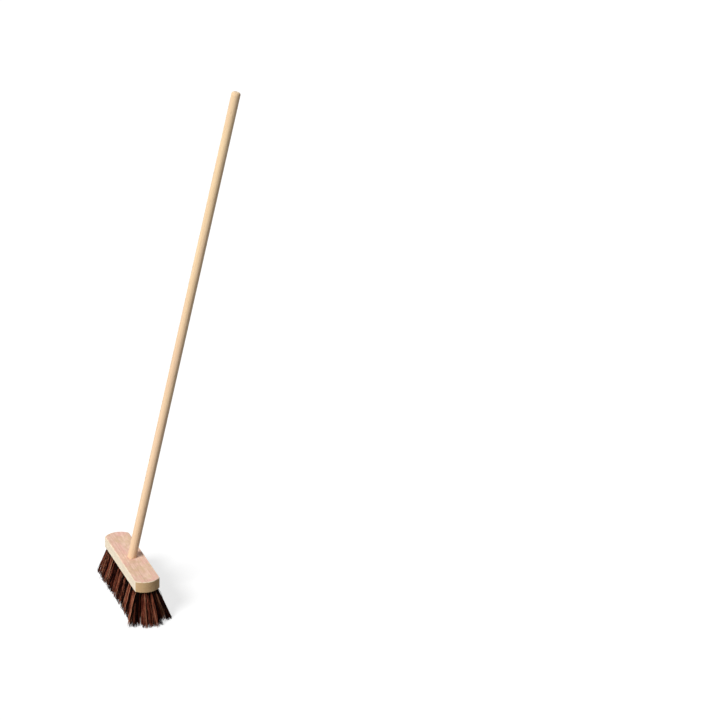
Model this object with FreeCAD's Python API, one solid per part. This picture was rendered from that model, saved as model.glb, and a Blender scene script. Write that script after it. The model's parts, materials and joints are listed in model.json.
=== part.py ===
# Long-handled yard broom: a drilled wooden stock set with stiff fibre tufts, and a round wooden handle.
# X runs along the stock, Y across it to the side that the handle leans to, and Z up, in millimetres.
# The origin is on the floor, at the middle of the plane that the bristle tips are trimmed to.
import FreeCAD, Part

import math
import os

from FreeCAD import Placement, Rotation, Vector

# Stock: a flat board with bowed ends
STOCK_LENGTH = 300.0
STOCK_WIDTH = 72.0
STOCK_THICKNESS = 33.0
END_BOW = 16.0
CORNER_ROUND = 2.5
TOP_EDGE_CHAMFER = 1.2
FACE_EDGE_CHAMFER = 0.7

# Tuft pattern: two outer rows, and two inner rows that are half a pitch out of step with them
TUFT_PITCH = 18.14
ROW_SPACING = 16.7
OUTER_ROW_TUFTS = 15
INNER_ROW_TUFTS = 16
HOLE_RADIUS = 4.7
HOLE_DEPTH = 10.0

# Bristles: the tips fan out to these multiples of the roots' distances from the middle
BRISTLE_LENGTH = 90.0
FAN_ALONG_STOCK = {"outer": 1.18, "inner": 1.3}
FAN_ACROSS_MIDDLE = 1.55
FAN_ACROSS_ENDS = 1.9
FAN_END_POWER = 4
ROOT_CLEARANCE = 0.25
TIP_HALF_LENGTH = 12.1
TIP_HALF_WIDTH = 12.6
BEND_HEIGHT = 0.4
BEND_SPREAD = 0.46
FLUTES = 6
FLUTE_DEPTH = 0.16
TRIM_ALLOWANCE = 8.0

# Anchors: flat steel plates that hold the folded tufts and bite into the walls of the holes
ANCHOR_WIDTH = 10.6
ANCHOR_HEIGHT = 2.4
ANCHOR_THICKNESS = 0.6
ANCHOR_ABOVE_FOLD = 2.6
ANCHOR_SLOT_CLEARANCE = 0.15

# Handle: a plain round stick with its top edge rounded over and a tapered foot, driven into a raked socket
HANDLE_LENGTH = 1420.0
HANDLE_RADIUS = 12.7
HANDLE_RAKE = 12.25
TOP_EDGE_ROUND = 6.0
TOP_EDGE_BEVELS = 3
FOOT_RADIUS = 11.9
FOOT_TAPER_LENGTH = 20.0
FOOT_EDGE = 1.0
SOCKET_DEPTH = 15.0
SOCKET_CLEARANCE = 0.08
SOCKET_FLOOR_GAP = 0.3

STOCK_FACE = BRISTLE_LENGTH
STOCK_TOP = STOCK_FACE + STOCK_THICKNESS
ROW_OFFSETS = {"outer": 1.5 * ROW_SPACING, "inner": 0.5 * ROW_SPACING}
ROW_COUNTS = {"outer": OUTER_ROW_TUFTS, "inner": INNER_ROW_TUFTS}
SOCKET_MOUTH = Vector(0, 0, STOCK_TOP)


def handle_axis():
    """Direction of the handle, from the socket upwards."""
    rake = math.radians(HANDLE_RAKE)
    return Vector(0, math.sin(rake), math.cos(rake))


def tilt_onto_handle(point):
    """Placement that stands a shape made along +Z on the handle's axis, at the given point."""
    return Placement(point, Rotation(Vector(0, 0, 1), handle_axis()))


def row_stations(row):
    """Places along X of the tufts in one row."""
    count = ROW_COUNTS[row]
    return [(i - (count - 1) / 2) * TUFT_PITCH for i in range(count)]


def tuft_root(x, y):
    """Middle of the mouth of a tuft's hole, on the bristle face."""
    return Vector(x, y, STOCK_FACE)


def fan_across(row, x):
    """Multiple that a tuft's tip fans out to across the stock, which grows towards the ends of its row."""
    share = abs(x) / row_stations(row)[-1]
    return FAN_ACROSS_MIDDLE + (FAN_ACROSS_ENDS - FAN_ACROSS_MIDDLE) * share ** FAN_END_POWER


def tuft_placement(row, x, y):
    """Placement that turns a tuft made along -Z onto the splayed axis of its hole."""
    tip = Vector(x * FAN_ALONG_STOCK[row], y * fan_across(row, x), 0)
    root = tuft_root(x, y)
    return Placement(root, Rotation(Vector(0, 0, -1), tip - root))


def stock_outline():
    """Plan of the stock: two straight sides, closed by two shallow arcs."""
    half_width = STOCK_WIDTH / 2
    corner = STOCK_LENGTH / 2 - END_BOW
    end = STOCK_LENGTH / 2
    front_left = Vector(-corner, -half_width, STOCK_FACE)
    front_right = Vector(corner, -half_width, STOCK_FACE)
    back_right = Vector(corner, half_width, STOCK_FACE)
    back_left = Vector(-corner, half_width, STOCK_FACE)
    edges = [
        Part.LineSegment(front_left, front_right),
        Part.Arc(front_right, Vector(end, 0, STOCK_FACE), back_right),
        Part.LineSegment(back_right, back_left),
        Part.Arc(back_left, Vector(-end, 0, STOCK_FACE), front_left),
    ]
    return Part.Wire([edge.toShape() for edge in edges])


def is_upright(edge):
    """Whether an edge runs straight up, as at the stock's four corners."""
    box = edge.BoundBox
    return box.ZLength > STOCK_THICKNESS / 2 and max(box.XLength, box.YLength) < 0.01


def edges_at(shape, height):
    """Edges of a shape that lie flat at one height."""
    flat = [edge for edge in shape.Edges if edge.BoundBox.ZLength < 0.01]
    return [edge for edge in flat if abs(edge.BoundBox.ZMin - height) < 0.01]


def make_socket():
    """Tapered hole for the handle's foot, raked, and run on past the top face."""
    above = FOOT_TAPER_LENGTH - SOCKET_DEPTH
    bottom_radius = FOOT_RADIUS + SOCKET_CLEARANCE
    mouth_radius = HANDLE_RADIUS + SOCKET_CLEARANCE
    cone = Part.makeCone(bottom_radius, mouth_radius, FOOT_TAPER_LENGTH, Vector(0, 0, -SOCKET_DEPTH))
    sleeve = Part.makeCylinder(mouth_radius, HANDLE_RADIUS, Vector(0, 0, above))
    socket = cone.fuse(sleeve)
    socket.Placement = tilt_onto_handle(SOCKET_MOUTH)
    return socket


def make_drills():
    """Blind tuft holes, each along its own splayed axis and with a flat for every facet of its tuft."""
    mouth = Part.makePolygon(bundle_ring(-HOLE_DEPTH, HOLE_RADIUS, HOLE_RADIUS, 0.0))
    drill = Part.Face(mouth).extrude(Vector(0, 0, 2 * HOLE_DEPTH))
    drills = []
    for row, offset in ROW_OFFSETS.items():
        for x in row_stations(row):
            for y in (-offset, offset):
                hole = drill.copy()
                hole.Placement = tuft_placement(row, x, y)
                drills.append(hole)
    return drills


def make_stock():
    """Board with its edges broken, the tuft holes in its face and the handle socket in its top."""
    board = Part.Face(stock_outline()).extrude(Vector(0, 0, STOCK_THICKNESS))
    board = board.makeFillet(CORNER_ROUND, [edge for edge in board.Edges if is_upright(edge)])
    board = board.makeChamfer(TOP_EDGE_CHAMFER, edges_at(board, STOCK_TOP))
    board = board.makeChamfer(FACE_EDGE_CHAMFER, edges_at(board, STOCK_FACE))
    return board.cut(make_drills() + [make_socket()])


def bundle_ring(height, half_length, half_width, flute):
    """Closed ring of points round a bundle of fibres at one height, scalloped by the given depth."""
    corners = 2 * FLUTES
    ring = []
    for i in range(corners):
        angle = 2 * math.pi * (i + 1) / corners
        reach = 1.0 if i % 2 == 0 else 1.0 - flute
        ring.append(Vector(half_length * reach * math.cos(angle), half_width * reach * math.sin(angle), height))
    return ring + ring[:1]


def facet_band(upper, lower):
    """Flat facets between two rings of points."""
    facets = []
    for a, b, c, d in zip(upper, upper[1:], lower, lower[1:]):
        facets.append(Part.Face(Part.makePolygon([a, b, d, a])))
        facets.append(Part.Face(Part.makePolygon([a, d, c, a])))
    return facets


def make_tuft_blank():
    """Untrimmed tuft along -Z: a round bundle in the hole that bends open and fans out to its tip."""
    root = HOLE_RADIUS - ROOT_CLEARANCE
    blank_length = BRISTLE_LENGTH + TRIM_ALLOWANCE
    bend_length = root + BEND_SPREAD * (TIP_HALF_LENGTH - root)
    bend_width = root + BEND_SPREAD * (TIP_HALF_WIDTH - root)
    rings = [
        bundle_ring(HOLE_DEPTH, root, root, 0.0),
        bundle_ring(0.0, root, root, 0.0),
        bundle_ring(-BEND_HEIGHT * blank_length, bend_length, bend_width, FLUTE_DEPTH / 2),
        bundle_ring(-blank_length, TIP_HALF_LENGTH, TIP_HALF_WIDTH, FLUTE_DEPTH),
    ]
    facets = [Part.Face(Part.makePolygon(ring)) for ring in (rings[0], rings[-1])]
    for upper, lower in zip(rings, rings[1:]):
        facets += facet_band(upper, lower)
    blank = Part.Solid(Part.Shell(facets)).removeSplitter()
    return blank.cut(anchor_plate(ANCHOR_SLOT_CLEARANCE))


def anchor_plate(clearance):
    """Anchor across a hole, grown all round by the clearance, in the frame of the tuft blank."""
    width = ANCHOR_WIDTH + 2 * clearance
    height = ANCHOR_HEIGHT + 2 * clearance
    thickness = ANCHOR_THICKNESS + 2 * clearance
    top = HOLE_DEPTH - ANCHOR_ABOVE_FOLD + clearance
    return Part.makeBox(thickness, width, height, Vector(-thickness / 2, -width / 2, top - height))


def make_tuft_pairs(row):
    """Tufts of the two matching rows, in pairs across the stock, trimmed level at the floor."""
    blank = make_tuft_blank()
    reach = STOCK_LENGTH
    above_floor = Part.makeBox(2 * reach, 2 * reach, STOCK_TOP, Vector(-reach, -reach, 0))
    pairs = []
    for x in row_stations(row):
        tufts = []
        for y in (-ROW_OFFSETS[row], ROW_OFFSETS[row]):
            tuft = blank.copy()
            tuft.Placement = tuft_placement(row, x, y)
            tufts.append(tuft.common(above_floor).Solids[0])
        pairs.append(Part.makeCompound(tufts))
    return pairs


def make_anchors(row, side):
    """Anchors of one row: side is -1 for the front of the stock and +1 for the back."""
    anchors = []
    for x in row_stations(row):
        plate = anchor_plate(0.0)
        plate.Placement = tuft_placement(row, x, side * ROW_OFFSETS[row])
        anchors.append(plate)
    return Part.makeCompound(anchors)


def make_handle():
    """Round stick turned about its axis: tapered foot, straight grip and rounded top."""
    foot = -SOCKET_DEPTH + SOCKET_FLOOR_GAP
    taper_end = FOOT_TAPER_LENGTH - SOCKET_DEPTH
    top = foot + HANDLE_LENGTH
    shoulder = top - TOP_EDGE_ROUND
    flat_radius = HANDLE_RADIUS - TOP_EDGE_ROUND
    slope = (HANDLE_RADIUS - FOOT_RADIUS) / FOOT_TAPER_LENGTH
    foot_radius = FOOT_RADIUS + slope * SOCKET_FLOOR_GAP
    edge_radius = foot_radius + slope * FOOT_EDGE
    corners = [
        Vector(0, 0, foot),
        Vector(foot_radius - FOOT_EDGE, 0, foot),
        Vector(edge_radius, 0, foot + FOOT_EDGE),
        Vector(HANDLE_RADIUS, 0, taper_end),
        Vector(HANDLE_RADIUS, 0, shoulder),
    ]
    for i in range(1, TOP_EDGE_BEVELS + 1):
        angle = 0.5 * math.pi * i / TOP_EDGE_BEVELS
        out = flat_radius + TOP_EDGE_ROUND * math.cos(angle)
        corners.append(Vector(out, 0, shoulder + TOP_EDGE_ROUND * math.sin(angle)))
    corners += [Vector(0, 0, top), corners[0]]
    profile = Part.makePolygon(corners)
    stick = Part.Face(profile).revolve(Vector(0, 0, 0), Vector(0, 0, 1), 360)
    stick.Placement = tilt_onto_handle(SOCKET_MOUTH)
    return stick


def make_broom():
    """All nodes of the broom by name."""
    nodes = {"stock": make_stock(), "handle": make_handle()}
    for row in ROW_OFFSETS:
        for number, pair in enumerate(make_tuft_pairs(row), start=1):
            nodes[f"{row}_tuft_pair_{number:02d}"] = pair
        nodes[f"front_{row}_anchors"] = make_anchors(row, -1)
        nodes[f"back_{row}_anchors"] = make_anchors(row, 1)
    return nodes


def main():
    """Write every node to its own file."""
    os.makedirs("parts", exist_ok=True)
    for name, shape in make_broom().items():
        shape.exportStep(f"parts/{name}.step")


main()
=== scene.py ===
"""Looks of a long-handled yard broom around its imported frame: wood, fibre, steel, studio and camera."""
import json
import logging
import math
import random
from dataclasses import dataclass
from enum import Enum
from typing import Any

import bmesh
import bpy
from mathutils import Matrix, Quaternion, Vector


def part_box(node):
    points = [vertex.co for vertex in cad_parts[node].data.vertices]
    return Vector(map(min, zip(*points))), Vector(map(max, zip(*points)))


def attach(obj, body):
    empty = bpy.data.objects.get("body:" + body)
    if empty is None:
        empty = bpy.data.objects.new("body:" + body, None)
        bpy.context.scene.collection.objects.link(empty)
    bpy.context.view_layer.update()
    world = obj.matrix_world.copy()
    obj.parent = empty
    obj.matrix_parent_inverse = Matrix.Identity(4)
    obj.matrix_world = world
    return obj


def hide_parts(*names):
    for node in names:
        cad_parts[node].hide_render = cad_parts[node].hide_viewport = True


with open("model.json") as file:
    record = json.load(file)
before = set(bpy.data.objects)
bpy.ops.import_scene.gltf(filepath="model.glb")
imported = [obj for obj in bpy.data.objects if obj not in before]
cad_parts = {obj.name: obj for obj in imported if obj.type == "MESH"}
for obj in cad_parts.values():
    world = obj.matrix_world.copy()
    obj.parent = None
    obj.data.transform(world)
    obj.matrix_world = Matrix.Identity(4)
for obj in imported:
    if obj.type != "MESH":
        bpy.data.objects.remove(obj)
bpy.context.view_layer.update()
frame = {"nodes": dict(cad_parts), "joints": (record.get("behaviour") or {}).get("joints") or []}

LOG = logging.getLogger("yard_broom")
HEAD_BODY = "head"
FULL_TURN = 2 * math.pi
GOLDEN_TURN = math.pi * (3 - math.sqrt(5))
Colour = tuple[float, float, float]
Triple = tuple[float, float, float]
Span = tuple[float, float]
Socket = bpy.types.NodeSocket
Inputs = dict[str | int, Any]


class Row(Enum):
    """The two kinds of tuft row: along the edges of the stock, and along its middle."""

    OUTER = "outer"
    INNER = "inner"


class NodeBench:
    """A node tree with short ways to add nodes and join their sockets."""

    # Sockets of a Mix node that mixes colours
    MIX_FACTOR = 0
    MIX_FIRST = 6
    MIX_SECOND = 7
    MIX_RESULT = 2

    def __init__(self, tree: bpy.types.NodeTree) -> None:
        """Takes the tree to work on."""
        self.tree = tree

    @classmethod
    def cleared(cls, owner: bpy.types.ID) -> "NodeBench":
        """Bench on the nodes of a material or a world, cleared of those that it starts with."""
        owner.use_nodes = True
        owner.node_tree.nodes.clear()
        return cls(owner.node_tree)

    def add(self, kind: str, values: Inputs | None = None, **settings: Any) -> bpy.types.Node:
        """Adds a node and fills its inputs.

        Args:
            kind: the node type's name, without its ShaderNode prefix.
            values: for each input, the output socket to link to it or the plain value to set.
            settings: properties of the node, such as its operation.

        Returns:
            The new node.
        """
        node = self.tree.nodes.new("ShaderNode" + kind)
        for name, setting in settings.items():
            setattr(node, name, setting)
        self.fill(node, values or {})
        return node

    def fill(self, node: bpy.types.Node, values: Inputs) -> None:
        """Links sockets to a node's inputs and sets plain values on them.

        Args:
            node: the node to fill.
            values: for each input, the output socket to link to it or the plain value to set.
        """
        for key, value in values.items():
            if isinstance(value, Socket):
                self.tree.links.new(value, node.inputs[key])
            else:
                node.inputs[key].default_value = value

    def number(self, operation: str, *values: Any) -> Socket:
        """Result of a Math node on up to three values or sockets."""
        return self.add("Math", dict(enumerate(values)), operation=operation).outputs[0]

    def vector(self, operation: str, *values: Any) -> Socket:
        """Result of a Vector Math node on up to three vectors or sockets."""
        return self.add("VectorMath", dict(enumerate(values)), operation=operation).outputs[0]

    def length(self, vector: Socket) -> Socket:
        """Length of a vector."""
        return self.add("VectorMath", {0: vector}, operation="LENGTH").outputs["Value"]

    def step(self, value: Any, edges: Span, ends: Span = (0.0, 1.0)) -> Socket:
        """Smooth step from the first end to the second as the value goes from the first edge to the second.

        Args:
            value: the value or socket that drives the step.
            edges: where the step starts and where it is over.
            ends: what it gives before its start and past its end.

        Returns:
            The step's socket.
        """
        values = {
            "Value": value,
            "From Min": edges[0],
            "From Max": edges[1],
            "To Min": ends[0],
            "To Max": ends[1],
        }
        return self.add("MapRange", values, interpolation_type="SMOOTHSTEP").outputs["Result"]

    def blend(self, factor: Any, first: Any, second: Any, mode: str = "MIX") -> Socket:
        """Mix of two colours, given as sockets or as plain colours.

        Args:
            factor: share of the second colour.
            first: the first colour.
            second: the second colour.
            mode: the way that the second is laid over the first.

        Returns:
            The mixed colour's socket.
        """
        values = {self.MIX_FACTOR: factor}
        for key, colour in ((self.MIX_FIRST, first), (self.MIX_SECOND, second)):
            values[key] = colour if isinstance(colour, Socket) else (*colour, 1.0)
        return self.add("Mix", values, data_type="RGBA", blend_type=mode).outputs[self.MIX_RESULT]

    def place(self, turn: Vector = Vector(), shift: Vector = Vector()) -> Socket:
        """Object coordinates, turned about the origin and then shifted."""
        source = self.add("TexCoord").outputs["Object"]
        values = {"Vector": source, "Rotation": turn, "Location": shift}
        return self.add("Mapping", values).outputs["Vector"]

    def bump(self, height: Any, strength: float, distance: float) -> Socket:
        """Normal bent by a height."""
        values = {"Height": height, "Strength": strength, "Distance": distance}
        return self.add("Bump", values).outputs["Normal"]


@dataclass(frozen=True)
class Mottle:
    """Noise that breaks up a finish, and the soft mask that is cut from it.

    The stretch multiplies the coordinates, so a small number draws the noise out along that axis. The mask
    goes from its first end to its second as the noise goes from the first edge to the second.
    """

    scale: float
    edges: Span = (0.0, 1.0)
    ends: Span = (0.0, 1.0)
    detail: float = 2.0
    roughness: float = 0.5
    stretch: Triple | None = None

    def noise(self, bench: NodeBench, place: Socket) -> bpy.types.Node:
        """Adds the noise texture.

        Args:
            bench: bench on the finish's nodes.
            place: coordinates, before the stretch.

        Returns:
            The texture's node.
        """
        if self.stretch:
            place = bench.vector("MULTIPLY", place, self.stretch)
        values = {"Vector": place, "Scale": self.scale, "Detail": self.detail, "Roughness": self.roughness}
        return bench.add("TexNoise", values)

    def value(self, bench: NodeBench, place: Socket) -> Socket:
        """The noise itself, as one value."""
        return self.noise(bench, place).outputs["Fac"]

    def mask(self, bench: NodeBench, place: Socket) -> Socket:
        """The soft mask that is cut from the noise."""
        return bench.step(self.value(bench, place), self.edges, self.ends)


def start_material(name: str) -> tuple[bpy.types.Material, NodeBench, bpy.types.Node]:
    """Starts a material from a Principled shader.

    Args:
        name: the material's name.

    Returns:
        The material, a bench on its nodes and its shader.
    """
    material = bpy.data.materials.new(name)
    bench = NodeBench.cleared(material)
    shader = bench.add("BsdfPrincipled")
    bench.add("OutputMaterial", {"Surface": shader.outputs["BSDF"]})
    return material, bench, shader


class GrainGroup:
    """Wood grain for the stock and the handle: rings about a pith, streaks and short flecks along Z."""

    NAME = "wood_grain"
    INPUTS = {
        "Vector": "NodeSocketVector",
        "Pith": "NodeSocketVector",
        "Ring Width": "NodeSocketFloat",
        "Early": "NodeSocketColor",
        "Late": "NodeSocketColor",
        "Fleck": "NodeSocketColor",
    }
    OUTPUTS = {"Color": "NodeSocketColor", "Height": "NodeSocketFloat", "Roughness": "NodeSocketFloat"}
    DRIFT = Mottle(20.0, stretch=(1.0, 1.0, 0.06))
    WANDER = 0.012
    RING_POWER = 2.2
    STREAK = Mottle(260.0, (0.34, 0.66), detail=4.0, roughness=0.65, stretch=(1.0, 1.0, 0.018))
    FLECK = Mottle(900.0, (0.64, 0.74), detail=1.0, stretch=(1.0, 1.0, 0.1))
    LATE_TONE = 0.55
    STREAK_TONE = 0.45
    FLECK_TONE = 0.45
    LATE_HEIGHT = 0.3
    FLECK_HEIGHT = -0.6
    ROUGHNESS = (0.66, 0.52)

    @classmethod
    def tree(cls) -> bpy.types.NodeTree:
        """The group's node tree, made at its first use."""
        made = bpy.data.node_groups.get(cls.NAME)
        return made or cls.build()

    @classmethod
    def build(cls) -> bpy.types.NodeTree:
        """Makes the group.

        Returns:
            The new node tree.
        """
        tree = bpy.data.node_groups.new(cls.NAME, "ShaderNodeTree")
        for name, kind in cls.INPUTS.items():
            tree.interface.new_socket(name, in_out="INPUT", socket_type=kind)
        for name, kind in cls.OUTPUTS.items():
            tree.interface.new_socket(name, in_out="OUTPUT", socket_type=kind)
        bench = NodeBench(tree)
        given = tree.nodes.new("NodeGroupInput").outputs
        late = cls.rings(bench, given)
        streak = cls.STREAK.mask(bench, given["Vector"])
        fleck = cls.FLECK.mask(bench, given["Vector"])
        streaked = bench.number("MULTIPLY", streak, cls.STREAK_TONE)
        mask = bench.number("MULTIPLY_ADD", late, cls.LATE_TONE, streaked)
        tone = bench.blend(mask, given["Early"], given["Late"])
        raised = bench.number("MULTIPLY_ADD", late, cls.LATE_HEIGHT, streak)
        results = {
            "Color": bench.blend(bench.number("MULTIPLY", fleck, cls.FLECK_TONE), tone, given["Fleck"]),
            "Height": bench.number("MULTIPLY_ADD", fleck, cls.FLECK_HEIGHT, raised),
            "Roughness": bench.step(mask, (0.0, 1.0), cls.ROUGHNESS),
        }
        bench.fill(tree.nodes.new("NodeGroupOutput"), results)
        return tree

    @classmethod
    def rings(cls, bench: NodeBench, given: bpy.types.NodeOutputs) -> Socket:
        """Share of late wood: each year's ring darkens slowly outwards and ends at once.

        Args:
            bench: bench on the group's nodes.
            given: the group's inputs.

        Returns:
            A mask from 0 in early wood to 1 in late wood.
        """
        drift = cls.DRIFT.noise(bench, given["Vector"]).outputs["Color"]
        half = cls.WANDER / 2
        sway = bench.vector("MULTIPLY_ADD", drift, (cls.WANDER, cls.WANDER, 0.0), (-half, -half, 0.0))
        from_pith = bench.vector("SUBTRACT", bench.vector("ADD", given["Vector"], sway), given["Pith"])
        reach = bench.length(bench.vector("MULTIPLY", from_pith, (1.0, 1.0, 0.0)))
        year = bench.number("FRACT", bench.number("DIVIDE", reach, given["Ring Width"]))
        return bench.number("POWER", year, cls.RING_POWER)


@dataclass(frozen=True)
class StockFinish:
    """Bare beech board: cream sides, a pinkish mottled top, tan end grain and a browner bristle face.

    Colours in pairs are those of the early and the late wood. The rims are the strips along the upper
    edges, measured in edge widths, that are painted paler: partly wear, partly a painted highlight.
    """

    half_width: float
    face: float
    top: float
    end_round_middle: float
    end_round: float
    side: tuple[Colour, Colour] = ((0.88, 0.8, 0.645), (0.81, 0.67, 0.48))
    end: tuple[Colour, Colour] = ((0.64, 0.44, 0.24), (0.52, 0.34, 0.17))
    under: tuple[Colour, Colour] = ((0.6, 0.41, 0.22), (0.42, 0.25, 0.11))
    top_tan: Colour = (0.74, 0.53, 0.34)
    top_pink: Colour = (0.82, 0.49, 0.42)
    top_pale: Colour = (0.9, 0.65, 0.54)
    top_late: Colour = (0.66, 0.43, 0.31)
    # Pale colour of the upper edges: partly wear, partly a painted highlight
    worn_highlit_edge: Colour = (0.84, 0.72, 0.53)
    fleck: Colour = (0.36, 0.21, 0.12)
    edge: float = 0.0012
    end_rim: float = 2.0
    side_rim: float = 1.7
    top_rim: float = 1.6
    pith: Triple = (-0.02, 0.018, 0.0)
    ring_width: float = 0.0042
    blotch: Mottle = Mottle(26.0, (0.4, 0.62), detail=3.0)
    pale: Mottle = Mottle(120.0, (0.4, 0.7), detail=3.0, stretch=(0.4, 1.0, 1.0))
    cloud: Mottle = Mottle(70.0, (0.3, 0.75), (0.0, 0.16), detail=4.0, roughness=0.6)
    # Noise that breaks up the worn strip and its painted highlight along the upper edges
    wear_highlight: Mottle = Mottle(160.0, (0.3, 0.55))
    bump_strength: float = 0.35
    bump_distance: float = 0.0006
    specular: float = 0.12

    def material(self) -> bpy.types.Material:
        """Makes the material.

        Returns:
            Wood whose colours follow the faces of the board.
        """
        material, bench, shader = start_material("stock_wood")
        plain = bench.place()
        along_grain = bench.place(Vector((0.0, -math.pi / 2, 0.0)))
        on_top, on_side, on_under, on_rim = self.faces(bench, plain)
        top_warm = bench.blend(self.blotch.mask(bench, plain), self.top_tan, self.top_pink)
        top_early = bench.blend(self.pale.mask(bench, plain), top_warm, self.top_pale)
        early, late = (
            bench.blend(on_under, bench.blend(on_top, bench.blend(on_side, end, side), top), under)
            for end, side, top, under in zip(self.end, self.side, (top_early, self.top_late), self.under)
        )
        values = {
            "Vector": along_grain,
            "Pith": self.pith,
            "Ring Width": self.ring_width,
            "Early": early,
            "Late": late,
            "Fleck": (*self.fleck, 1.0),
        }
        grain = bench.add("Group", values, node_tree=GrainGroup.tree()).outputs
        clouded = bench.blend(self.cloud.mask(bench, plain), grain["Color"], self.top_late, "MULTIPLY")
        # Upper edges painted paler: partly wear, partly a painted highlight
        worn_highlit = bench.number("MULTIPLY", on_rim, self.wear_highlight.mask(bench, plain))
        looks = {
            "Base Color": bench.blend(worn_highlit, clouded, self.worn_highlit_edge),
            "Roughness": grain["Roughness"],
            "Normal": bench.bump(grain["Height"], self.bump_strength, self.bump_distance),
            "Specular IOR Level": self.specular,
        }
        bench.fill(shader, looks)
        return material

    def faces(self, bench: NodeBench, plain: Socket) -> list[Socket]:
        """Masks of the board's faces, from the places of their points.

        Args:
            bench: bench on the material's nodes.
            plain: object coordinates.

        Returns:
            Masks of the top, the long sides, the bristle face and the upper edge, where wear and a painted
            highlight go.
        """
        axes = bench.add("SeparateXYZ", {"Vector": plain}).outputs
        across = bench.number("ABSOLUTE", axes["Y"])
        along = bench.number("ABSOLUTE", axes["X"])
        edge = self.edge
        half = edge / 2
        on_top = bench.step(axes["Z"], (self.top - edge, self.top - half))
        on_side = bench.step(across, (self.half_width - edge, self.half_width - half))
        on_under = bench.step(axes["Z"], (self.face + half / 2, self.face + half), (1.0, 0.0))
        past_middle = bench.number("SUBTRACT", along, self.end_round_middle)
        past_square = bench.number("MULTIPLY", past_middle, past_middle)
        square = bench.number("MULTIPLY_ADD", across, across, past_square)
        reach = bench.number("MULTIPLY", bench.number("SQRT", square), bench.step(past_middle, (0.0, edge)))
        end_rim = bench.step(reach, (self.end_round - self.end_rim * edge, self.end_round - edge))
        side_rim = bench.step(across, (self.half_width - self.side_rim * edge, self.half_width - edge))
        high = bench.step(axes["Z"], (self.top - self.top_rim * edge, self.top - edge))
        on_rim = bench.number("MULTIPLY", bench.number("MAXIMUM", end_rim, side_rim), high)
        return [on_top, on_side, on_under, on_rim]


@dataclass(frozen=True)
class HandleFinish:
    """Smooth turned wood: straw at the top, pinker lower down, with long rings and fine flecks.

    The pink bias is what is added to the noise of the patches, at the stock and at the top of the stick.
    """

    rake: float
    mouth: float
    length: float
    straw: Colour = (0.9, 0.69, 0.43)
    pink: Colour = (0.87, 0.63, 0.43)
    late: Colour = (0.74, 0.5, 0.3)
    fleck: Colour = (0.42, 0.26, 0.14)
    pith: Triple = (0.05, 0.03, 0.0)
    ring_width: float = 0.0036
    patches: Mottle = Mottle(9.0, stretch=(8.0, 8.0, 1.0))
    pink_bias: Span = (0.62, 0.3)
    pink_edges: Span = (0.72, 1.12)
    grain_roughness: Span = (0.5, 0.7)
    rubbed_roughness: Span = (0.38, 0.52)
    bump_strength: float = 0.25
    bump_distance: float = 0.0004
    specular: float = 0.16

    def material(self) -> bpy.types.Material:
        """Makes the material.

        Returns:
            Wood whose grain runs along the raked stick.
        """
        material, bench, shader = start_material("handle_wood")
        shift = Vector((0.0, math.sin(self.rake), -math.cos(self.rake))) * self.mouth
        along_grain = bench.place(Vector((self.rake, 0.0, 0.0)), shift)
        height = bench.add("SeparateXYZ", {"Vector": along_grain}).outputs["Z"]
        patches = self.patches.value(bench, along_grain)
        bias = bench.step(height, (0.0, self.length), self.pink_bias)
        pinkness = bench.step(bench.number("ADD", patches, bias), self.pink_edges)
        values = {
            "Vector": along_grain,
            "Pith": self.pith,
            "Ring Width": self.ring_width,
            "Early": bench.blend(pinkness, self.straw, self.pink),
            "Late": (*self.late, 1.0),
            "Fleck": (*self.fleck, 1.0),
        }
        grain = bench.add("Group", values, node_tree=GrainGroup.tree()).outputs
        looks = {
            "Base Color": grain["Color"],
            "Roughness": bench.step(grain["Roughness"], self.grain_roughness, self.rubbed_roughness),
            "Normal": bench.bump(grain["Height"], self.bump_strength, self.bump_distance),
            "Specular IOR Level": self.specular,
        }
        bench.fill(shader, looks)
        return material


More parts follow.
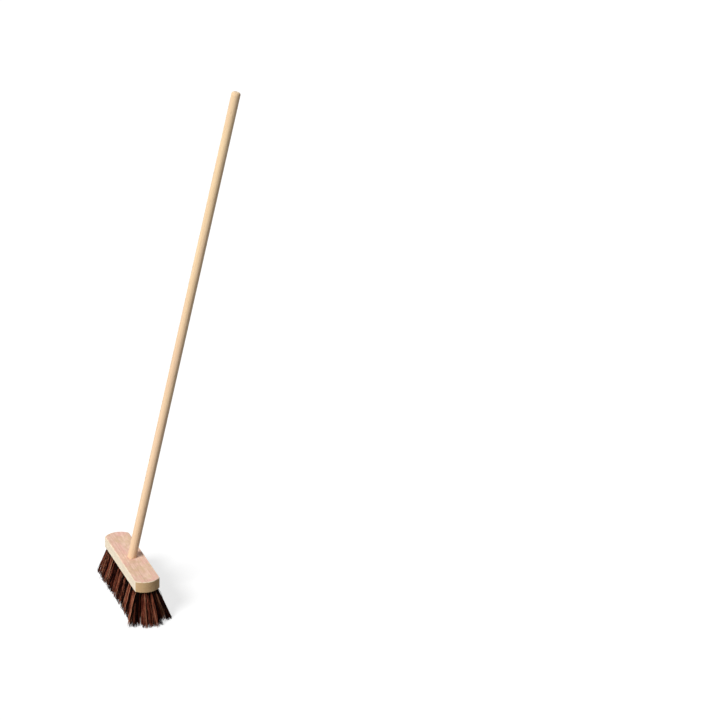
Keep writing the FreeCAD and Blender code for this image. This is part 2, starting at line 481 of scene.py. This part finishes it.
@dataclass(frozen=True)
class FibreFinish:
    """Stiff palm fibre: black-brown to red-brown with tan strands, with shade painted darker at the root,
    and paler at the cut.

    The root and cut edges are places along a strand, from 0 at its root to 1 at its tip.
    """

    tones: tuple[tuple[float, Colour], ...] = (
        (0.0, (0.003, 0.0003, 0.0001)),
        (0.32, (0.013, 0.0014, 0.0008)),
        (0.55, (0.108, 0.0185, 0.0103)),
        (0.78, (0.355, 0.093, 0.05)),
        (1.0, (0.54, 0.252, 0.145)),
    )
    # Painted shade: strands are darkened towards their roots, where the stock and the tuft shade them
    painted_root_shade: Colour = (0.28, 0.22, 0.2)
    root_edges: Span = (0.05, 0.42)
    cut: Colour = (0.36, 0.17, 0.085)
    cut_edges: Span = (0.9985, 0.9999)
    pale_cut: Mottle = Mottle(420.0, (0.38, 0.66), (0.1, 0.9))
    scuff: Mottle = Mottle(900.0, detail=3.0, roughness=0.6, stretch=(1.0, 1.0, 0.12))
    patch: Mottle = Mottle(60.0)
    wobble: float = 0.34
    rough_edges: Span = (0.3, 0.7)
    roughness: Span = (0.5, 0.72)
    bump_strength: float = 0.4
    bump_distance: float = 0.0003
    specular: float = 0.03

    def material(self) -> bpy.types.Material:
        """Makes the material.

        Returns:
            Fibre coloured by each strand's own shade and by the place along it, with shade painted in
            towards the root.
        """
        material, bench, shader = start_material("bristle_fibre")
        shade = bench.add("Attribute", attribute_name="shade").outputs["Fac"]
        along = bench.add("Attribute", attribute_name="along").outputs["Fac"]
        plain = bench.place()
        scuff = self.scuff.value(bench, plain)
        patch = self.patch.value(bench, plain)
        wobble = bench.number("MULTIPLY_ADD", bench.number("ADD", scuff, patch), self.wobble, -self.wobble)
        ramp = bench.add("ValToRGB", {"Fac": bench.number("ADD", shade, wobble)})
        self.fill(ramp.color_ramp)
        # Painted shade, strongest at the root and gone part way down the strand
        shade_near_root = bench.step(along, self.root_edges, (1.0, 0.0))
        rooted = bench.blend(shade_near_root, ramp.outputs["Color"], self.painted_root_shade, "MULTIPLY")
        pale_cut = self.pale_cut.mask(bench, plain)
        at_cut = bench.number("MULTIPLY", bench.step(along, self.cut_edges), pale_cut)
        looks = {
            "Base Color": bench.blend(at_cut, rooted, self.cut),
            "Roughness": bench.step(scuff, self.rough_edges, self.roughness),
            "Normal": bench.bump(scuff, self.bump_strength, self.bump_distance),
            "Specular IOR Level": self.specular,
        }
        bench.fill(shader, looks)
        return material

    def fill(self, ramp: bpy.types.ColorRamp) -> None:
        """Sets the colours of a ramp to the fibre's tones.

        Args:
            ramp: the ramp to fill.
        """
        while len(ramp.elements) < len(self.tones):
            ramp.elements.new(1.0)
        for element, (position, colour) in zip(ramp.elements, self.tones):
            element.position = position
            element.color = (*colour, 1.0)


@dataclass(frozen=True)
class SteelFinish:
    """Bright drawn strip with fine lengthwise scratches."""

    bright: Colour = (0.6, 0.6, 0.61)
    dull: Colour = (0.42, 0.41, 0.4)
    scratch: Mottle = Mottle(2500.0, detail=3.0, stretch=(1.0, 0.05, 1.0))
    rough_edges: Span = (0.3, 0.7)
    roughness: Span = (0.28, 0.45)
    bump_strength: float = 0.2
    bump_distance: float = 0.0001

    def material(self) -> bpy.types.Material:
        """Makes the material.

        Returns:
            Steel with its scratches across the holes.
        """
        material, bench, shader = start_material("anchor_steel")
        scratches = self.scratch.value(bench, bench.place())
        looks = {
            "Base Color": bench.blend(scratches, self.bright, self.dull),
            "Roughness": bench.step(scratches, self.rough_edges, self.roughness),
            "Normal": bench.bump(scratches, self.bump_strength, self.bump_distance),
            "Metallic": 1.0,
        }
        bench.fill(shader, looks)
        return material


def dress(node: str, material: bpy.types.Material) -> None:
    """Gives a frame node a finish in place of its plain one.

    Args:
        node: the node's name.
        material: the finish.
    """
    for slot in frame["nodes"][node].material_slots:
        slot.material = material
    LOG.info("%s: dressed in %s", node, material.name)


@dataclass
class Strand:
    """One fibre: the points that it runs through, its radius at the root and how pale it is.

    The taper is the share of the radius that is left at its tip.
    """

    points: list[Vector]
    radius: float
    shade: float
    taper: float = 0.88


class StrandMesh:
    """A mesh of many strands, each bent from a copy of one straight blank.

    The blank is mapped flat on a unit square: its wall below, and its two ends side by side in a band
    above. Each strand then has that square in a cell of its own on the piece's map.
    """

    SIDES = 4
    MAP = "OFBake"
    WALL_TILT = 0.5
    CELL_ASPECT = 4
    MARGIN = 0.04
    CAP_BAND = 0.06
    TIP_CAP = 0.25
    ROOT_CAP = 0.75
    CAP_WIDTH = 0.2
    CAP_HEIGHT = 0.4

    def __init__(self, rings: int, strands: int) -> None:
        """Makes the blank.

        Args:
            rings: points that each strand runs through.
            strands: how many strands the mesh will hold, which sets the grid of its map.
        """
        self.rings = rings
        self.columns = max(1, math.ceil(math.sqrt(self.CELL_ASPECT * strands)))
        self.rows = math.ceil(strands / self.columns)
        self.made = 0
        self.shape = bmesh.new()
        self.blank = bpy.data.meshes.new("strand_blank")
        self.scratch = bpy.data.meshes.new("strand_scratch")
        self.make_blank()

    def make_blank(self) -> None:
        """Extrudes a closed tube along Z, a unit to each ring, and maps it flat."""
        tube = bmesh.new()
        along = tube.verts.layers.float.new("along")
        tube.verts.layers.float.new("shade")
        bmesh.ops.create_circle(tube, cap_ends=True, segments=self.SIDES, radius=1.0)
        cap = next(iter(tube.faces))
        for ring in range(1, self.rings):
            grown = bmesh.ops.extrude_face_region(tube, geom=[cap])["geom"]
            raised = [v for v in grown if isinstance(v, bmesh.types.BMVert)]
            bmesh.ops.translate(tube, verts=raised, vec=(0.0, 0.0, 1.0))
            # The first cap closes the root, and the later ones would stay inside the tube
            if ring > 1:
                bmesh.ops.delete(tube, geom=[cap], context="FACES_ONLY")
            cap = next(f for f in grown if isinstance(f, bmesh.types.BMFace))
            for vertex in raised:
                vertex[along] = ring / (self.rings - 1)
        bmesh.ops.recalc_face_normals(tube, faces=tube.faces)
        self.map_flat(tube)
        tube.to_mesh(self.blank)
        tube.free()

    def map_flat(self, tube: bmesh.types.BMesh) -> None:
        """Maps the tube flat on a unit square, and smooths its wall.

        Args:
            tube: the straight tube.
        """
        layer = tube.loops.layers.uv.new(self.MAP)
        for face in tube.faces:
            face.smooth = abs(face.normal.z) < self.WALL_TILT
            for loop in face.loops:
                spot = self.wall_spot if face.smooth else self.cap_spot
                loop[layer].uv = spot(face, loop.vert.co)

    def wall_spot(self, face: bmesh.types.BMFace, place: Vector) -> Span:
        """Place on the map of a corner of the tube's wall.

        Args:
            face: the wall's face.
            place: the corner.

        Returns:
            The place on the unit square.
        """
        sector = FULL_TURN / self.SIDES
        middle = face.calc_center_median()
        first = math.floor(math.atan2(middle.y, middle.x) % FULL_TURN / sector)
        turned = (math.atan2(place.y, place.x) - first * sector) % FULL_TURN
        at_first = turned < sector / 2 or turned > FULL_TURN - sector
        side = first if at_first else first + 1
        return side / self.SIDES, place.z / (self.rings - 1) * (1 - self.CAP_BAND)

    def cap_spot(self, face: bmesh.types.BMFace, place: Vector) -> Span:
        """Place on the map of a corner of one of the tube's ends.

        Args:
            face: the end's face.
            place: the corner.

        Returns:
            The place on the unit square.
        """
        middle = self.TIP_CAP if face.normal.z > 0 else self.ROOT_CAP
        height = 1 - self.CAP_BAND / 2 + self.CAP_HEIGHT * self.CAP_BAND * place.y
        return middle + self.CAP_WIDTH * place.x, height

    def lay(self, strand: Strand) -> None:
        """Bends a copy of the blank along a strand and adds it.

        Args:
            strand: the strand to lay.
        """
        bent = bmesh.new()
        bent.from_mesh(self.blank)
        shade = bent.verts.layers.float["shade"]
        layer = bent.loops.layers.uv[self.MAP]
        turns = self.turns(strand.points)
        for vertex in bent.verts:
            ring = round(vertex.co.z)
            thin = 1 - (1 - strand.taper) * ring / (self.rings - 1)
            spoke = Vector((vertex.co.x, vertex.co.y, 0.0)) * strand.radius * thin
            vertex.co = strand.points[ring] + turns[ring] @ spoke
            vertex[shade] = strand.shade
        row, column = divmod(self.made, self.columns)
        for face in bent.faces:
            for loop in face.loops:
                u, v = (self.MARGIN + (1 - 2 * self.MARGIN) * x for x in loop[layer].uv)
                loop[layer].uv = ((column + u) / self.columns, (row + v) / self.rows)
        bent.to_mesh(self.scratch)
        bent.free()
        self.shape.from_mesh(self.scratch)
        self.made += 1

    @staticmethod
    def turns(points: list[Vector]) -> list[Quaternion]:
        """Turn of each ring, carried from one to the next so that the tube never twists.

        Args:
            points: the points of the strand.

        Returns:
            One turn for each point.
        """
        ways = [(b - a).normalized() for a, b in zip(points, points[1:])]
        ways.append(ways[-1])
        turn = Vector((0.0, 0.0, 1.0)).rotation_difference(ways[0])
        turns = [turn]
        for before, after in zip(ways, ways[1:]):
            turn = before.rotation_difference(after) @ turn
            turns.append(turn)
        return turns

    def finish(self, name: str, material: bpy.types.Material) -> bpy.types.Object:
        """Makes one piece of the strands and hangs it on the head.

        Args:
            name: the piece's name.
            material: its finish.

        Returns:
            The piece.
        """
        mesh = bpy.data.meshes.new(name)
        self.shape.to_mesh(mesh)
        self.shape.free()
        bpy.data.meshes.remove(self.blank)
        bpy.data.meshes.remove(self.scratch)
        mesh.materials.append(material)
        piece = bpy.data.objects.new(name, mesh)
        bpy.context.scene.collection.objects.link(piece)
        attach(piece, HEAD_BODY)
        LOG.info("%s: %d strands, %d faces", name, self.made, len(mesh.polygons))
        return piece


def bow(start: Vector, leave: Vector, arrive: Vector, end: Vector, count: int) -> list[Vector]:
    """Points along a cubic curve.

    Args:
        start: where the curve starts.
        leave: the handle that it leaves its start towards.
        arrive: the handle that it comes to its end from.
        end: where the curve ends.
        count: how many points.

    Returns:
        The points, evenly spaced in the curve's parameter.
    """
    points = []
    for i in range(count):
        t = i / (count - 1)
        s = 1 - t
        points.append(start * s**3 + leave * 3 * s * s * t + arrive * 3 * s * t * t + end * t**3)
    return points


@dataclass
class Clump:
    """Strands of one tuft that run together.

    Their middle is a place in the tuft, within a circle of radius 1. Their light share is how many of them
    are light strands, their shade how much paler they are than the rest, and their lift how far off the
    floor they end.
    """

    middle: Vector
    light_share: float
    shade: float
    lift: float


@dataclass
class Patch:
    """The patch of floor that a tuft's tips cover: its middle, its half sizes and how square it is."""

    middle: Vector
    half_length: float
    half_width: float
    squareness: float


@dataclass
class BristleRows:
    """The two matching rows of tufts of one kind, front and back, as strands that fan out of their holes.

    Fields that start with end shape the tufts at the ends of the rows, which are splayed open. Pairs of
    shades are a mean and a spread, and other pairs are the least and the most.
    """

    row: Row
    face: float
    offset: float
    fan_along: float
    seed: int

    # Where the tufts stand and how they open
    pitch: float = 0.01814
    fan_across: float = 1.55
    end_fan_along: float = 0.115
    end_fan_across: float = 0.28
    end_power: int = 4
    far_end_share: float = 0.3

    # The strands of a tuft and the patch that they cover
    strands: int = 146
    end_strands: int = 62
    clumps: int = 23
    tip_length: float = 0.0138
    end_tip_length: float = 0.25
    tip_width_share: float = 0.0092
    squareness: float = 0.85
    end_squareness: float = 0.1
    tip_shift: float = 0.0014

    # The run of a strand
    rings: int = 5
    thickness: Span = (0.00038, 0.00062)
    root_radius: float = 0.0042
    root_depth: float = 0.004
    root_spread: float = 0.12
    root_bulge: float = 0.0022
    tip_spread: float = 0.22
    leave_share: float = 0.22
    leave_sway: float = 0.6
    arrive_share: float = 0.68
    bend: float = 0.0026
    unruly_share: float = 0.07
    unruly_bend: float = 0.0065
    stray_share: float = 0.05
    stray_reach: Span = (1.12, 1.35)

    # How far off the floor it ends
    clump_lift: float = 0.001
    strand_lift: float = 0.0008
    short_share: float = 0.04
    short_lift: Span = (0.004, 0.014)
    least_lift: float = 0.0004

    # How pale it is
    light_clumps: float = 0.4
    light_in_light: float = 0.94
    light_in_dark: float = 0.08
    dark_shade: Span = (0.12, 0.1)
    light_shade: Span = (0.76, 0.12)
    clump_shade: float = 0.18

    def nodes(self) -> list[str]:
        """Names of the frame's tuft pairs that these rows stand for."""
        return sorted(name for name in frame["nodes"] if name.startswith(f"{self.row.value}_tuft_pair"))

    def build(self, material: bpy.types.Material) -> bpy.types.Object:
        """Lays every strand of the two rows.

        Args:
            material: the fibre's finish.

        Returns:
            The piece, which stands for the rows' solid tufts.
        """
        draw = random.Random(self.seed)
        pairs = self.nodes()
        strands = []
        for i in range(len(pairs)):
            share = 2 * i / (len(pairs) - 1) - 1
            x = share * (len(pairs) - 1) / 2 * self.pitch
            for y in (-self.offset, self.offset):
                strands += self.tuft(x, y, self.opening(share), draw)
        mesh = StrandMesh(self.rings, len(strands))
        for strand in strands:
            mesh.lay(strand)
        piece = mesh.finish(f"{self.row.value}_bristles", material)
        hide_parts(*pairs)
        return piece

    def opening(self, share: float) -> float:
        """How far a tuft is splayed open: 0 along most of the row, 1 at its near end, less at its far end.

        Args:
            share: place of the tuft in its row, from -1 at the far end to 1 at the near end.

        Returns:
            The opening.
        """
        return abs(share) ** self.end_power * (1.0 if share > 0 else self.far_end_share)

    def tuft(self, x: float, y: float, opened: float, draw: random.Random) -> list[Strand]:
        """Strands of one tuft, gathered in clumps of like colour and length.

        Args:
            x: place of the hole along the stock.
            y: place of the hole across the stock.
            opened: how far the tuft is splayed open.
            draw: source of chance.

        Returns:
            The tuft's strands.
        """
        root = Vector((x, y, self.face))
        shift = Vector((draw.gauss(0.0, self.tip_shift), draw.gauss(0.0, self.tip_shift), 0.0))
        across = self.fan_across + self.end_fan_across * opened
        tip = Vector((x * (self.fan_along + self.end_fan_along * opened), y * across, 0.0)) + shift
        length = self.tip_length * (1 + self.end_tip_length * opened)
        square = self.squareness + (self.end_squareness - self.squareness) * opened
        patch = Patch(tip, length, self.tip_width_share * across, square)
        count = self.strands + round(self.end_strands * opened)
        phase = draw.uniform(0.0, FULL_TURN)
        strands = []
        for number in range(self.clumps):
            clump = self.clump(number, phase, draw)
            for _ in range(number, count, self.clumps):
                strands.append(self.strand(root, patch, clump, draw))
        return strands

    def clump(self, number: int, phase: float, draw: random.Random) -> Clump:
        """One clump of a tuft, in a spiral that spreads them evenly.

        Args:
            number: number of the clump in the tuft.
            phase: turn of the tuft's first clump.
            draw: source of chance.

        Returns:
            The clump.
        """
        angle = phase + number * GOLDEN_TURN
        reach = math.sqrt((number + 0.5) / self.clumps)
        middle = Vector((reach * math.cos(angle), reach * math.sin(angle)))
        light = self.light_in_light if draw.random() < self.light_clumps else self.light_in_dark
        shade = draw.gauss(0.0, self.clump_shade)
        return Clump(middle, light, shade, abs(draw.gauss(0.0, self.clump_lift)))

    def strand(self, root: Vector, patch: Patch, clump: Clump, draw: random.Random) -> Strand:
        """One strand: out of the hole, then bending to its own place in the fan.

        Args:
            root: middle of the hole's mouth.
            patch: the patch that the tuft's tips cover.
            clump: the clump that the strand belongs to.
            draw: source of chance.

        Returns:
            The strand.
        """
        place = self.near(clump.middle, self.root_spread, draw)
        aim = self.near(clump.middle, self.tip_spread, draw)
        if draw.random() < self.stray_share:
            aim *= draw.uniform(*self.stray_reach)
        lift = clump.lift + abs(draw.gauss(0.0, self.strand_lift))
        if draw.random() < self.short_share:
            lift += draw.uniform(*self.short_lift)
        bend = self.unruly_bend if draw.random() < self.unruly_share else self.bend
        axis = (patch.middle - root).normalized()
        start = root + Vector((place.x, place.y, 0.0)) * self.root_radius - axis * self.root_depth
        aim *= (aim.length / max(abs(aim.x), abs(aim.y))) ** patch.squareness
        fan = Vector((patch.half_length * aim.x, patch.half_width * aim.y, 0.0))
        end = patch.middle + fan + Vector((0.0, 0.0, max(lift, self.least_lift)))
        bulge = Vector((place.x, place.y, 0.0)) * self.root_bulge
        leave = start.lerp(end, self.leave_share) + bulge + self.sway(self.leave_sway * bend, draw)
        arrive = start.lerp(end, self.arrive_share) + self.sway(bend, draw)
        tone = self.light_shade if draw.random() < clump.light_share else self.dark_shade
        shade = clump.shade + draw.gauss(*tone)
        points = bow(start, leave, arrive, end, self.rings)
        return Strand(points, draw.uniform(*self.thickness), min(1.0, max(0.0, shade)))

    @staticmethod
    def near(middle: Vector, spread: float, draw: random.Random) -> Vector:
        """A place by chance near a clump's middle, within the circle of radius 1."""
        place = middle + Vector((draw.gauss(0.0, spread), draw.gauss(0.0, spread)))
        return place.normalized() if place.length > 1 else place

    @staticmethod
    def sway(amount: float, draw: random.Random) -> Vector:
        """Sideways bend of a strand by chance."""
        return Vector((draw.gauss(0.0, amount), draw.gauss(0.0, amount), 0.0))


@dataclass(frozen=True)
class LooseFibre:
    """One loose strand: the four points of its curve, with heights from the bristle face, and its looks."""

    curve: tuple[Triple, Triple, Triple, Triple]
    radius: float
    shade: float
    taper: float


@dataclass
class LooseFibres:
    """Strands that have come away from their tufts: one broken out sideways, and a hair round the end."""

    face: float
    broken: LooseFibre = LooseFibre(
        (
            (-0.086, 0.028, -0.002),
            (-0.083, 0.034, -0.006),
            (-0.079, 0.041, -0.007),
            (-0.074, 0.047, -0.007),
        ),
        radius=0.0008,
        shade=0.3,
        taper=0.35,
    )
    hair: LooseFibre = LooseFibre(
        (
            (-0.146, -0.012, -0.034),
            (-0.164, -0.004, -0.044),
            (-0.167, 0.014, -0.046),
            (-0.15, 0.03, -0.036),
        ),
        radius=0.0003,
        shade=0.95,
        taper=0.7,
    )
    rings: int = 14

    def build(self, material: bpy.types.Material) -> bpy.types.Object:
        """Lays the loose strands.

        Args:
            material: the fibre's finish.

        Returns:
            The piece.
        """
        fibres = (self.broken, self.hair)
        mesh = StrandMesh(self.rings, len(fibres))
        for fibre in fibres:
            curve = [Vector((x, y, self.face + z)) for x, y, z in fibre.curve]
            mesh.lay(Strand(bow(*curve, self.rings), fibre.radius, fibre.shade, fibre.taper))
        return mesh.finish("loose_fibres", material)


@dataclass
class Head:
    """Stock with its anchors and its four rows of bristles.

    The outer and the inner rows stand so many row spacings from the middle of the stock.
    """

    end_bow: float = 0.016
    row_spacing: float = 0.0167
    outer_spacings: float = 1.5
    inner_spacings: float = 0.5
    outer_fan: float = 1.12
    inner_fan: float = 1.2
    outer_seed: int = 3
    inner_seed: int = 23

    def build(self) -> None:
        """Dresses the stock and the anchors, and builds the bristles."""
        low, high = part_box("stock")
        half_width = high.y
        end_round = (half_width**2 + self.end_bow**2) / (2 * self.end_bow)
        finish = StockFinish(half_width, low.z, high.z, high.x - end_round, end_round)
        dress("stock", finish.material())
        steel = SteelFinish().material()
        for node in sorted(frame["nodes"]):
            if node.endswith("_anchors"):
                dress(node, steel)
        fibre = FibreFinish().material()
        outer = self.outer_spacings * self.row_spacing
        inner = self.inner_spacings * self.row_spacing
        BristleRows(Row.OUTER, low.z, outer, self.outer_fan, self.outer_seed).build(fibre)
        BristleRows(Row.INNER, low.z, inner, self.inner_fan, self.inner_seed).build(fibre)
        LooseFibres(low.z).build(fibre)


@dataclass
class Handle:
    """The round stick that leans back from the stock."""

    def build(self) -> None:
        """Dresses the stick in wood whose grain follows its lean."""
        axis = Vector(frame["joints"][0]["axis"])
        low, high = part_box("handle")
        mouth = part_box("stock")[1].z
        finish = HandleFinish(math.atan2(axis.y, axis.z), mouth, (high - low).length)
        dress("handle", finish.material())


@dataclass
class Studio:
    """White floor and surround, a broad lamp at the left, a weak one behind, and the whole-broom camera."""

    floor_half: float = 40.0
    floor_colour: Colour = (0.34, 0.34, 0.34)
    floor_lift: float = 0.72
    ambient: float = 0.13
    lamp_strength: float = 3.55
    fill_strength: float = 0.9
    lamp_angle: float = math.radians(24.0)
    fill_angle: float = math.radians(60.0)
    lamp_from: Triple = (0.26, -0.69, 0.68)
    fill_from: Triple = (-0.85, 0.35, 0.4)
    lens: float = 180.0
    camera_place: Triple = (8.3566, -2.8023, 5.1968)
    azimuth: float = math.radians(67.39)
    elevation: float = math.radians(26.76)
    roll: float = math.radians(1.64)

    def build(self) -> None:
        """Sets the stage."""
        bpy.context.scene.view_settings.view_transform = "Standard"
        self.make_floor()
        self.make_world()
        self.make_lamp("key_lamp", self.lamp_strength, self.lamp_angle, self.lamp_from)
        self.make_lamp("fill_lamp", self.fill_strength, self.fill_angle, self.fill_from)
        self.make_camera()

    def make_floor(self) -> None:
        """Lays a large pale floor that shows the broom's shadow and is white elsewhere."""
        shape = bmesh.new()
        bmesh.ops.create_grid(shape, x_segments=1, y_segments=1, size=self.floor_half)
        mesh = bpy.data.meshes.new("floor")
        shape.to_mesh(mesh)
        shape.free()
        material = bpy.data.materials.new("floor_white")
        bench = NodeBench.cleared(material)
        matte = bench.add("BsdfDiffuse", {"Color": (*self.floor_colour, 1.0)})
        lift = bench.number("MULTIPLY", self.seen(bench), self.floor_lift)
        glow = bench.add("Emission", {"Strength": lift})
        both = bench.add("AddShader", {0: matte.outputs[0], 1: glow.outputs[0]})
        bench.add("OutputMaterial", {"Surface": both.outputs[0]})
        mesh.materials.append(material)
        floor = bpy.data.objects.new("floor", mesh)
        bpy.context.scene.collection.objects.link(floor)

    @staticmethod
    def seen(bench: NodeBench) -> Socket:
        """Mask of the rays that show the surround: straight to the camera, by gloss or through glass."""
        path = bench.add("LightPath").outputs
        gloss = bench.number("MAXIMUM", path["Is Glossy Ray"], path["Is Transmission Ray"])
        return bench.number("MAXIMUM", path["Is Camera Ray"], gloss)

    def make_world(self) -> None:
        """Makes a surround that looks white and fills the shadows softly."""
        world = bpy.data.worlds.new("surround")
        bench = NodeBench.cleared(world)
        strength = bench.number("MULTIPLY_ADD", self.seen(bench), 1 - self.ambient, self.ambient)
        surround = bench.add("Background", {"Color": (1.0, 1.0, 1.0, 1.0), "Strength": strength})
        bench.add("OutputWorld", {"Surface": surround.outputs[0]})
        bpy.context.scene.world = world

    @staticmethod
    def make_lamp(name: str, strength: float, angle: float, way: Triple) -> None:
        """Hangs a broad lamp.

        Args:
            name: the lamp's name.
            strength: how strong it is.
            angle: how wide it looks from the broom.
            way: the way from the broom to it.
        """
        lamp = bpy.data.lights.new(name, "SUN")
        lamp.energy = strength
        lamp.angle = angle
        holder = bpy.data.objects.new(name, lamp)
        holder.rotation_mode = "QUATERNION"
        holder.rotation_quaternion = Vector(way).to_track_quat("Z", "Y")
        bpy.context.scene.collection.objects.link(holder)

    def make_camera(self) -> None:
        """Sets the camera where the whole broom shows at the left of the frame."""
        a, e = self.azimuth, self.elevation
        back = Vector((math.sin(a) * math.cos(e), -math.cos(a) * math.cos(e), math.sin(e)))
        right = Vector((math.cos(a), math.sin(a), 0.0))
        turn = Matrix((right, back.cross(right), back)).transposed().to_4x4()
        roll = Matrix.Rotation(self.roll, 4, "Z")
        camera = bpy.data.cameras.new("camera")
        camera.lens = self.lens
        camera.clip_end = 2 * self.floor_half
        holder = bpy.data.objects.new("camera", camera)
        holder.matrix_world = Matrix.Translation(self.camera_place) @ turn @ roll
        bpy.context.scene.collection.objects.link(holder)
        bpy.context.scene.camera = holder


def main() -> None:
    """Builds the broom's looks, then the studio."""
    logging.basicConfig(level=logging.INFO, format="%(message)s")
    Head().build()
    Handle().build()
    Studio().build()


if __name__ == "__main__":
    main()
